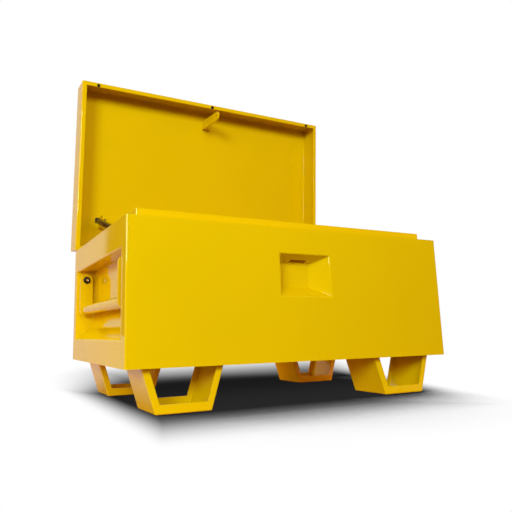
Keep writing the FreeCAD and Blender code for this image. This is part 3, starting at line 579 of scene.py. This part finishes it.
# %% [markdown]
# ## The gas struts
# A gas strut is a drawn steel tube in gloss black. Its far end is rounded where it was spun shut, and a
# rolled groove near its mouth holds the gland. The rod is hard chrome. A tube could be modelled where it
# lies, but its slices and its waist are simplest about the Z axis, so each is modelled upright with its
# ball at the origin, and then turned along the line of the frame's own tube.

# %% Sizes of a strut's tube
TUBE_LENGTH = 0.190
BALL_REACH = 0.024                       # from the ball's middle to the tube's closed end
MOUTH = -BALL_REACH - TUBE_LENGTH        # height of the tube's mouth, below the ball
GROOVE = (0.0090, 0.0105, 0.0120, 0.0135)            # edges of the groove and of its waist
GROOVE_WAIST = 0.86                      # width of the waist as a share of the tube's
SPUN_END, ROLLED_MOUTH = 0.004, 0.0015   # radii of the closed end and of the mouth
MOUTH_RIM, MOUTH_DEPTH = 0.0018, 0.0008  # width of the mouth's rim, depth of the hollow inside it
print(f"tubes {TUBE_LENGTH * 1000:.0f} mm long")


# %% Spin the tubes
def bar(name, low, high, radius, sides):
    """Add a round bar that stands upright between the middles of its two ends."""
    deselect()
    low, high = Vector(low), Vector(high)
    bpy.ops.mesh.primitive_cylinder_add(vertices=sides, radius=radius, depth=(high - low).length,
                                        end_fill_type="NGON", location=(low + high) / 2)
    piece = bpy.context.object
    piece.name = piece.data.name = name
    return settle(piece)


def upright_tube(name, radius):
    """Model a tube with its closed end, its groove and its rolled mouth."""
    tube = bar(name, (0, 0, MOUTH), (0, 0, -BALL_REACH), radius, sides=48)
    open_piece(tube)
    slice_at(Z, *(MOUTH + edge for edge in GROOVE))
    choose("VERT", lambda point: GROOVE[1] - NEAR < point.co.z - MOUTH < GROOVE[2] + NEAR)
    bpy.ops.transform.resize(value=(GROOVE_WAIST, GROOVE_WAIST, 1), center_override=(0, 0, 0))
    round_edges(lambda edge: bent(edge, SHARP) and middle(edge).z > -BALL_REACH - NEAR, SPUN_END,
                segments=6)
    round_edges(lambda edge: bent(edge, SHARP) and middle(edge).z < MOUTH + NEAR, ROLLED_MOUTH,
                segments=4)
    choose("FACE", lambda face: faces(face, Z, -1))
    bpy.ops.mesh.inset(thickness=MOUTH_RIM)
    push((0, 0, MOUTH_DEPTH))
    return close_piece()


# %% Turn each tube along its strut
for side in ("left", "right"):
    node = f"strut_tube_{side}"
    low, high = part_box(node)
    tube = upright_tube(node + "_made", (high.x - low.x) / 2)
    tube.rotation_mode = "QUATERNION"
    way = Vector(joints[f"strut_{side}_stroke"]["axis"])
    tube.rotation_quaternion = Vector((0, 0, -1)).rotation_difference(way)
    tube.location = Vector(joints[f"strut_{side}_ball"]["pos_m"])
    done(settle(tube), node, "black_enamel", node)

# %% [markdown]
# ## Finishes
# Every finish is one main shader, whose colour, roughness or surface follows a noise. Painting images
# for it would need unwrapped panels. The noises read object coordinates instead, and every piece sits
# at the origin, so they run on from piece to piece. A socket knows the node tree that it is in, so each
# helper adds its nodes beside the socket that it is given.

# %% Helpers for nodes
def beside(socket, kind):
    """Add a node to the tree that a socket is in."""
    return socket.id_data.nodes.new(kind)


def wire(output, socket):
    """Join an output to a node's input."""
    output.id_data.links.new(output, socket)


def mapped(value, start, end, low, high, kind="LINEAR", clamp=True):
    """Turn a value between two places into a number between two limits."""
    limits = beside(value, "ShaderNodeMapRange")
    limits.interpolation_type = kind
    limits.clamp = clamp
    limits.inputs["From Min"].default_value = start
    limits.inputs["From Max"].default_value = end
    limits.inputs["To Min"].default_value = low
    limits.inputs["To Max"].default_value = high
    wire(value, limits.inputs["Value"])
    return limits.outputs["Result"]


def blended(share, first, second):
    """Blend two colours by a pattern."""
    mix = beside(share, "ShaderNodeMix")
    mix.data_type = "RGBA"
    mix.inputs["A"].default_value = (*first, 1)
    mix.inputs["B"].default_value = (*second, 1)
    wire(share, mix.inputs["Factor"])
    return mix.outputs["Result"]


# %% Helpers for finishes
NOISE_LOW, NOISE_HIGH = 0.3, 0.7         # where nearly all of a noise's values lie


def start_finish(name, colour, roughness, metallic=0.0):
    """Start a material with a main shader and object coordinates."""
    finish = bpy.data.materials.new(name)
    finish.use_nodes = True
    shader = finish.node_tree.nodes["Principled BSDF"]
    shader.inputs["Base Color"].default_value = (*colour, 1)
    shader.inputs["Roughness"].default_value = roughness
    shader.inputs["Metallic"].default_value = metallic
    return finish, shader, beside(shader, "ShaderNodeTexCoord").outputs["Object"]


def speckle(place, scale, detail=2.0, stretch=(1, 1, 1)):
    """Add a noise pattern that may be stretched along an axis."""
    mapping = beside(place, "ShaderNodeMapping")
    mapping.inputs["Scale"].default_value = stretch
    noise = beside(place, "ShaderNodeTexNoise")
    noise.inputs["Scale"].default_value = scale
    noise.inputs["Detail"].default_value = detail
    wire(place, mapping.inputs["Vector"])
    wire(mapping.outputs["Vector"], noise.inputs["Vector"])
    return noise.outputs["Fac"]


def tint(shader, pattern, first, second):
    """Let a pattern move the colour between two."""
    share = mapped(pattern, NOISE_LOW, NOISE_HIGH, 0, 1)
    wire(blended(share, first, second), shader.inputs["Base Color"])


def roughen(shader, pattern, low, high):
    """Let a pattern move the roughness between two limits."""
    wire(mapped(pattern, NOISE_LOW, NOISE_HIGH, low, high), shader.inputs["Roughness"])


def emboss(shader, height, strength, distance):
    """Let a pattern raise and lower the surface."""
    bump = beside(height, "ShaderNodeBump")
    bump.inputs["Strength"].default_value = strength
    bump.inputs["Distance"].default_value = distance
    wire(height, bump.inputs["Height"])
    wire(bump.outputs["Normal"], shader.inputs["Normal"])


# %% [markdown]
# ## Powder coat
# The steel is powder coated: a thick, glossy yellow that melts into a skin. Seen close it has a fine
# orange peel, and over a large panel its tone drifts a little. A clear coat over a duller base could
# give the gloss too, but the real coat is one layer, so the main shader's own roughness is kept very
# low and barely varies.

# %% Yellow powder coat
def powder_coat():
    """Glossy yellow paint with a slow drift of tone and a fine orange peel."""
    finish, shader, place = start_finish("yellow_powder_coat", (0.75, 0.485, 0.0), 0.05)
    tint(shader, speckle(place, 3.0), (0.765, 0.495, 0.0), (0.735, 0.475, 0.0))
    roughen(shader, speckle(place, 14.0, detail=4.0), 0.025, 0.05)
    emboss(shader, speckle(place, 420.0, detail=1.0), strength=0.03, distance=0.0003)
    shader.inputs["IOR"].default_value = 1.5
    return finish


# %% [markdown]
# ## Bare metals and black parts
# The small parts are bare or black, and each catches the light in its own way: cloudy zinc, rivets
# marked by their setting tool, bolts coloured dark round a bright middle, gloss
# enamel, chrome with grinding rings, grained plastic and dusty rubber. Modelled wear would be too fine
# to see at their size, so a noise on colour, roughness or height does it.

# %% Zinc and rivets
def zinc_plate():
    """Zinc-plated steel with a cloudy grain."""
    finish, shader, place = start_finish("zinc_plate", (0.62, 0.60, 0.58), 0.3, metallic=1.0)
    tint(shader, speckle(place, 160.0, detail=4.0), (0.70, 0.67, 0.64), (0.52, 0.50, 0.49))
    roughen(shader, speckle(place, 500.0), 0.24, 0.4)
    return finish


def rivet_alloy():
    """Satin alloy with the fine marks of the setting tool."""
    finish, shader, place = start_finish("rivet_alloy", (0.7, 0.7, 0.71), 0.35, metallic=1.0)
    roughen(shader, speckle(place, 900.0, detail=3.0), 0.28, 0.46)
    emboss(shader, speckle(place, 1200.0), strength=0.15, distance=0.0001)
    return finish


# %% Bolts, bright in the middle and dark round it
DARK_OUTSIDE, BRIGHT_MIDDLE = (0.05, 0.045, 0.045), (0.82, 0.76, 0.76)
BRIGHT_RADIUS, DARK_RADIUS = 0.0030, 0.0040       # where the bright middle ends and the dark outside begins


def absolute(value):
    """Drop a number's sign."""
    result = beside(value, "ShaderNodeMath")
    result.operation = "ABSOLUTE"
    wire(value, result.inputs[0])
    return result.outputs[0]


def from_bolt_axis(place):
    """Give the distance from the handles' bolts, whose axes run along X at each end of the box."""
    axes = beside(place, "ShaderNodeSeparateXYZ")
    wire(place, axes.inputs[0])
    flat = beside(place, "ShaderNodeCombineXYZ")
    wire(absolute(axes.outputs["X"]), flat.inputs["X"])
    wire(axes.outputs["Z"], flat.inputs["Z"])
    reach = beside(place, "ShaderNodeVectorMath")
    reach.operation = "DISTANCE"
    swing = joints["handle_left_swing"]["pos_m"]
    reach.inputs[1].default_value = (abs(swing[X]), 0, swing[Z])
    wire(flat.outputs[0], reach.inputs[0])
    return reach.outputs["Value"]


def bright_middle_bolt():
    """Dark bolt head, coloured bright in the middle."""
    finish, shader, place = start_finish("bright_middle_bolt", DARK_OUTSIDE, 0.22, metallic=1.0)
    # the colour is bright within 3 mm of the bolt's axis and dark beyond 4 mm
    share = mapped(from_bolt_axis(place), BRIGHT_RADIUS, DARK_RADIUS, 0, 1)
    wire(blended(share, BRIGHT_MIDDLE, DARK_OUTSIDE), shader.inputs["Base Color"])
    roughen(shader, speckle(place, 600.0), 0.16, 0.3)
    return finish


# %% Strut enamel and chrome
def black_gloss():
    """Gloss black enamel with a faint waviness."""
    finish, shader, place = start_finish("black_gloss", (0.012, 0.010, 0.009), 0.1)
    roughen(shader, speckle(place, 60.0), 0.05, 0.11)
    emboss(shader, speckle(place, 300.0), strength=0.05, distance=0.0002)
    shader.inputs["IOR"].default_value = 1.38
    return finish


def hard_chrome():
    """Ground and chromed rod, with faint rings round it."""
    finish, shader, place = start_finish("hard_chrome", (0.75, 0.76, 0.78), 0.1, metallic=1.0)
    roughen(shader, speckle(place, 900.0, stretch=(0.05, 1, 1)), 0.05, 0.16)
    return finish


# %% Plastic and rubber
def moulded_black():
    """Moulded black plastic with a fine grain."""
    finish, shader, place = start_finish("moulded_black", (0.02, 0.02, 0.021), 0.4)
    roughen(shader, speckle(place, 220.0), 0.34, 0.5)
    emboss(shader, speckle(place, 1500.0, detail=3.0), strength=0.2, distance=0.0001)
    return finish


def soft_rubber():
    """Matt rubber with a dusty bloom."""
    finish, shader, place = start_finish("soft_rubber", (0.018, 0.018, 0.018), 0.8)
    tint(shader, speckle(place, 90.0, detail=4.0), (0.004, 0.004, 0.004), (0.012, 0.0115, 0.011))
    emboss(shader, speckle(place, 1000.0), strength=0.25, distance=0.0002)
    shader.inputs["IOR"].default_value = 1.3
    return finish


# %% Give every piece its finish
finishes = {"yellow_paint": powder_coat(), "zinc_steel": zinc_plate(), "rivet_metal": rivet_alloy(),
            "black_enamel": black_gloss(), "chrome_rod": hard_chrome(),
            "black_plastic": moulded_black(), "rubber": soft_rubber()}
bolt_finish = bright_middle_bolt()
slot_of = {part["node"]: part["material_slot"] for part in frame["record"]["subparts"]}
for node, piece in frame["nodes"].items():
    piece.data.materials.clear()
    piece.data.materials.append(finishes[slot_of[node]])
for piece, slot in finished:
    piece.data.materials.clear()
    is_bolt = piece.name.startswith("handle_pivot_bolts")
    piece.data.materials.append(bolt_finish if is_bolt else finishes[slot])
print(f"{len(finishes)} finishes on {len(finished)} made pieces and {len(frame['nodes'])} solids")

# %% [markdown]
# ## Camera
# The camera stands low and to the left of the box and looks slightly up at it. It could be aimed at a
# point, but it also leans a little to one side, so it is written as a place, three angles and a focal
# length, which were worked out from the box's known size.

# %% Place the camera
PICTURE = 512                                  # width and height of the picture in pixels
FOCAL_PIXELS = 504.44
AXIS_PIXEL = (209.15, 246.49)                  # where the lens axis meets the picture
YAW, PITCH, ROLL = 0.44977, 0.16817, -0.01714  # radians
CAMERA_PLACE = Vector((-0.66774, -1.17602, 0.15008))
SENSOR_WIDTH = 36

looking = Vector((math.sin(YAW) * math.cos(PITCH), math.cos(YAW) * math.cos(PITCH), math.sin(PITCH)))
across = Vector((math.cos(YAW), -math.sin(YAW), 0))
upright = across.cross(looking)
right = across * math.cos(ROLL) + upright * math.sin(ROLL)
up = upright * math.cos(ROLL) - across * math.sin(ROLL)
lens = bpy.data.cameras.new("camera")
lens.sensor_width = SENSOR_WIDTH
lens.lens = FOCAL_PIXELS / PICTURE * SENSOR_WIDTH
lens.shift_x = (PICTURE / 2 - AXIS_PIXEL[0]) / PICTURE
lens.shift_y = (AXIS_PIXEL[1] - PICTURE / 2) / PICTURE
lens.clip_start, lens.clip_end = 0.01, 100
camera = bpy.data.objects.new("camera", lens)
bpy.context.scene.collection.objects.link(camera)
turn = Matrix((right, up, -looking)).transposed().to_4x4()
camera.matrix_world = Matrix.Translation(CAMERA_PLACE) @ turn
bpy.context.scene.camera = camera
print(f"lens {lens.lens:.2f} mm, shift {lens.shift_x:.4f}, {lens.shift_y:.4f}")

# %% [markdown]
# ## Studio
# The box stands on white paper, in front of a white background that its gloss mirrors. A real studio
# does this with lamps on the paper and black flags beside the camera. Here the floor and the world tell
# rays apart instead, because then the white sheds no light of its own on the box. A ray from the camera
# sees white all round. A ray that gloss mirrors sees white behind the box and a dark room in front of
# it. All other rays get soft room light, warm and low from the front, and pale from behind.

# %% Light levels
MIRRORED_WHITE = 0.57                    # how bright gloss mirrors the background and the paper
MIRRORED_DARK = 0.02                     # how bright gloss mirrors the dark side of the room
WARM_ROOM = (0.95, 0.56, 0.24)           # room light from the front
PALE_BACKDROP = (0.98, 0.92, 0.84)       # room light from behind
print(f"gloss mirrors the white at {MIRRORED_WHITE} and the dark room at {MIRRORED_DARK}")


# %% Helpers for the studio
def worked_out(operation, first, second):
    """Work out one number from two."""
    result = beside(first, "ShaderNodeMath")
    result.operation = operation
    wire(first, result.inputs[0])
    wire(second, result.inputs[1])
    return result.outputs[0]


def multiplied(first, second):
    """Multiply two numbers."""
    return worked_out("MULTIPLY", first, second)


def larger(first, second):
    """Choose the larger of two numbers."""
    return worked_out("MAXIMUM", first, second)


def smaller(first, second):
    """Choose the smaller of two numbers."""
    return worked_out("MINIMUM", first, second)


def fade(value, edges, low, high):
    """Fade softly from one number to another between two places."""
    return mapped(value, *edges, low, high, "SMOOTHSTEP")


def spread(share, low, high):
    """Turn a share from 0 to 1 into a number between two limits."""
    return mapped(share, 0, 1, low, high, clamp=False)


def ray_kinds(tree):
    """Give two shares: rays from the camera, and rays from the camera, a mirror or a glass."""
    rays = tree.nodes.new("ShaderNodeLightPath")
    seen = rays.outputs["Is Camera Ray"]
    gloss = larger(rays.outputs["Is Glossy Ray"], rays.outputs["Is Transmission Ray"])
    return seen, larger(seen, gloss)


def split(tree, coordinates):
    """Split one kind of texture coordinates into X, Y and Z."""
    axes = tree.nodes.new("ShaderNodeSeparateXYZ")
    wire(tree.nodes.new("ShaderNodeTexCoord").outputs[coordinates], axes.inputs[0])
    return axes.outputs


# %% [markdown]
# ## Paper floor
# Paper under a box is dark where the box takes up most of the space above it, and the shade softens
# outwards. One lamp overhead would give a hard shadow, and many would light the box too. So the paper
# is seen as glowing white, and an ambient occlusion node dims it. In front the shade runs on softly
# past the feet. Behind the box and beside it the shade fades out, because the background lights the
# paper there. Its edges are places on the floor, so they stay put when the camera moves.

# %% Levels of the shade
OCCLUSION_REACH, OCCLUSION_SAMPLES = 0.6, 16
OPEN_SPACE = (0.50, 0.86)                # shares of open space above dark and above white paper
DEEPEST, FRONT_SHADE = 0.01, 0.06        # shares of white, under the box and just in front of it
BLACKEST = 0.0105                        # strength of the glow where the share of white is 0
print(f"paper is white where {OPEN_SPACE[1]:.0%} of the space above it is open")

# %% Edges of the shade, each from one place to another in metres
FRONT_EDGE, FEET_EDGE = (-0.53, -0.28), (-0.27, -0.20)         # along Y, of the shade in front
LEFT_EDGE, RIGHT_EDGE = (-0.47, -0.34), (0.06, 0.34)           # along X, of the shade in front
BACK_EDGE, BACKGROUND_EDGE = (-0.25, 0.2), (0.16, 1.35)        # along Y, of the band behind
OUTER_LEFT_EDGE = (-0.43, -0.33)         # along X, of all shade
LEAN_ALONG, LEAN_ACROSS = (-2, 2), (-0.78, 0.82)     # the middle line, along Y and along X
HALF_WIDTH = (0.48, 1.48)                # from the middle line to the shade's side, and one metre on
SOFT_ALONG, SOFTNESS = (0, 1), (0.07, 0.27)          # the side's softness grows along Y
print(f"shade ends {-FRONT_EDGE[0]:.2f} m in front of the middle of the box")


# %% Helpers for the shade
def near_the_box(x, y):
    """Give how bright the paper is near the box, from 0 to 1."""
    occlusion = beside(x, "ShaderNodeAmbientOcclusion")
    occlusion.samples = OCCLUSION_SAMPLES
    occlusion.inputs["Distance"].default_value = OCCLUSION_REACH
    under = fade(occlusion.outputs["AO"], OPEN_SPACE, DEEPEST, 1.0)
    front = larger(fade(y, FRONT_EDGE, 1, FRONT_SHADE), fade(y, FEET_EDGE, 0, 1))
    sides = larger(fade(x, LEFT_EDGE, 1, 0), fade(x, RIGHT_EDGE, 0, 1))
    return smaller(under, larger(front, sides))


def further_out(x, y):
    """Give how bright the paper is behind the box and beside it, as two shares from 0 to 1."""
    behind = larger(fade(y, BACK_EDGE, 1, 0), fade(y, BACKGROUND_EDGE, 0, 1))
    middle_line = mapped(y, *LEAN_ALONG, *LEAN_ACROSS, clamp=False)
    aside = absolute(worked_out("SUBTRACT", x, middle_line))
    past_side = mapped(aside, *HALF_WIDTH, 0, 1, clamp=False)
    softness = fade(y, SOFT_ALONG, *SOFTNESS)
    outside = fade(worked_out("DIVIDE", past_side, softness), (-1, 1), 0, 1)
    return behind, larger(outside, fade(x, OUTER_LEFT_EDGE, 1, 0))


# %% Lay the paper
PAPER_SIZE = 60
bpy.ops.mesh.primitive_plane_add(size=PAPER_SIZE, location=(0, 0, 0))
floor = bpy.context.object
floor.name = "studio_floor"
paper = bpy.data.materials.new("studio_floor")
paper.use_nodes = True
floor.data.materials.append(paper)
tree = paper.node_tree
tree.nodes.remove(tree.nodes["Principled BSDF"])
print(f"paper floor, {PAPER_SIZE} m square")

# %% Make the paper glow for some rays and bounce light for the others
ROOM_EDGE = (-0.45, -0.15)               # along Y, from the dark side of the room to the white one
FRONT_BOUNCE, BACK_BOUNCE = (0.08, 0.045, 0.02), (0.82, 0.40, 0.12)      # how it colours bounced light

x, y, _ = split(tree, "Object")
seen, seen_or_mirrored = ray_kinds(tree)
behind, beside_box = further_out(x, y)
shaded = larger(multiplied(near_the_box(x, y), behind), beside_box)
past_the_front = fade(y, ROOM_EDGE, 0, 1)
level = larger(seen, spread(past_the_front, MIRRORED_DARK, MIRRORED_WHITE))
glow = tree.nodes.new("ShaderNodeEmission")
wire(multiplied(spread(shaded, BLACKEST, 1), level), glow.inputs["Strength"])
bounce = tree.nodes.new("ShaderNodeBsdfDiffuse")
wire(blended(past_the_front, FRONT_BOUNCE, BACK_BOUNCE), bounce.inputs["Color"])
choice = tree.nodes.new("ShaderNodeMixShader")
wire(seen_or_mirrored, choice.inputs["Fac"])
wire(bounce.outputs[0], choice.inputs[1])
wire(glow.outputs[0], choice.inputs[2])
wire(choice.outputs[0], tree.nodes["Material Output"].inputs["Surface"])
print(f"paper of {len(tree.nodes)} nodes")

# %% [markdown]
# ## Background
# Gloss is what it mirrors, so the paint needs a white background behind the box and a dark room in
# front of it. Large card planes could stand there, but the world can hold them as directions, and then
# nothing shades the box. A narrow dark flag interrupts the white where the left end mirrors it.
# Directions have a length of 1, so an edge is a share of that length along an axis.

# %% Edges of the background and its flag
BACKGROUND_START = (-0.25, 0.05)         # along Y, from the dark room to the white background
FLAG_RIGHT, FLAG_STEP = (-0.243, -0.236), (0.145, 0.155)       # along X, above a height along Z
FLAG_RIGHT_LOW = (-0.274, -0.268)        # along X, at any height
FLAG_LEFT, FLAG_TOP = (-0.46, -0.40), (0.45, 0.55)             # along X and along Z
LOW_LIGHT_HEIGHT, LOW_LIGHT = (0.0, 0.6), (1.96, 0.33)         # room light, from low to high along Z


def dark_flag(x, z):
    """Give 1 in the directions of the dark flag, and 0 elsewhere."""
    right_side = larger(multiplied(fade(x, FLAG_RIGHT, 1, 0), fade(z, FLAG_STEP, 0, 1)),
                        fade(x, FLAG_RIGHT_LOW, 1, 0))
    return multiplied(right_side, multiplied(fade(x, FLAG_LEFT, 0, 1), fade(z, FLAG_TOP, 1, 0)))


# %% Colour the world
world = bpy.data.worlds.new("studio")
world.use_nodes = True
bpy.context.scene.world = world
tree = world.node_tree
background = tree.nodes["Background"]
x, y, z = split(tree, "Generated")
seen, seen_or_mirrored = ray_kinds(tree)
behind = fade(y, BACKGROUND_START, 0, 1)
colour = tree.nodes.new("ShaderNodeMix")
colour.data_type = "RGBA"
colour.inputs["B"].default_value = (1, 1, 1, 1)
wire(seen_or_mirrored, colour.inputs["Factor"])
wire(blended(behind, WARM_ROOM, PALE_BACKDROP), colour.inputs["A"])
wire(colour.outputs["Result"], background.inputs["Color"])
print("room warm in front and pale behind, white for the camera and for gloss")

# %% Set how strongly each direction shines
white = multiplied(behind, spread(dark_flag(x, z), 1, 0))
mirrored_level = spread(white, MIRRORED_DARK, MIRRORED_WHITE)
low_light = larger(fade(z, LOW_LIGHT_HEIGHT, *LOW_LIGHT), behind)
room_level = multiplied(low_light, spread(seen_or_mirrored, 1, 0))
level = larger(larger(mirrored_level, seen), room_level)
wire(level, background.inputs["Strength"])
print(f"world of {len(tree.nodes)} nodes")

# %% [markdown]
# ## Lamps
# Three soft boxes light the steel: a large pale one from behind, and two cool ones from the front and
# the left, which balance the warm room. One strong lamp would blow out the panel that faces it. Only
# the lamp at the left shows in the gloss, because the others would leave white squares on the panels.

# %% Hang the lamps
LIT_POINT = Vector((0, 0, 0.4))
COOL, PALE = (0.755, 1.0, 0.96), (1.0, 0.98, 0.95)


def lamp(name, place, size, power, colour, mirrored=False):
    """Add a soft lamp that faces the box."""
    light = bpy.data.lights.new(name, "AREA")
    light.shape = "RECTANGLE"
    light.size, light.size_y = size
    light.energy = power
    light.color = colour
    holder = bpy.data.objects.new(name, light)
    bpy.context.scene.collection.objects.link(holder)
    holder.location = place
    holder.rotation_mode = "QUATERNION"
    holder.rotation_quaternion = (LIT_POINT - Vector(place)).to_track_quat("-Z", "Y")
    holder.visible_glossy = mirrored
    print(f"{name}: {power} W")


lamp("side_lamp", (-2.3, -2.4, 1.17), size=(0.95, 0.95), power=62, colour=COOL, mirrored=True)
lamp("back_lamp", (2.6, 2.3, 1.3), size=(1.6, 1.2), power=90, colour=PALE)
lamp("front_lamp", (-0.7, -2.95, 1.35), size=(0.8, 0.8), power=36.5, colour=COOL)

# %% [markdown]
# ## View settings
# The view keeps colours as they are written.

# %% View settings and sizes
bpy.context.scene.view_settings.view_transform = "Standard"
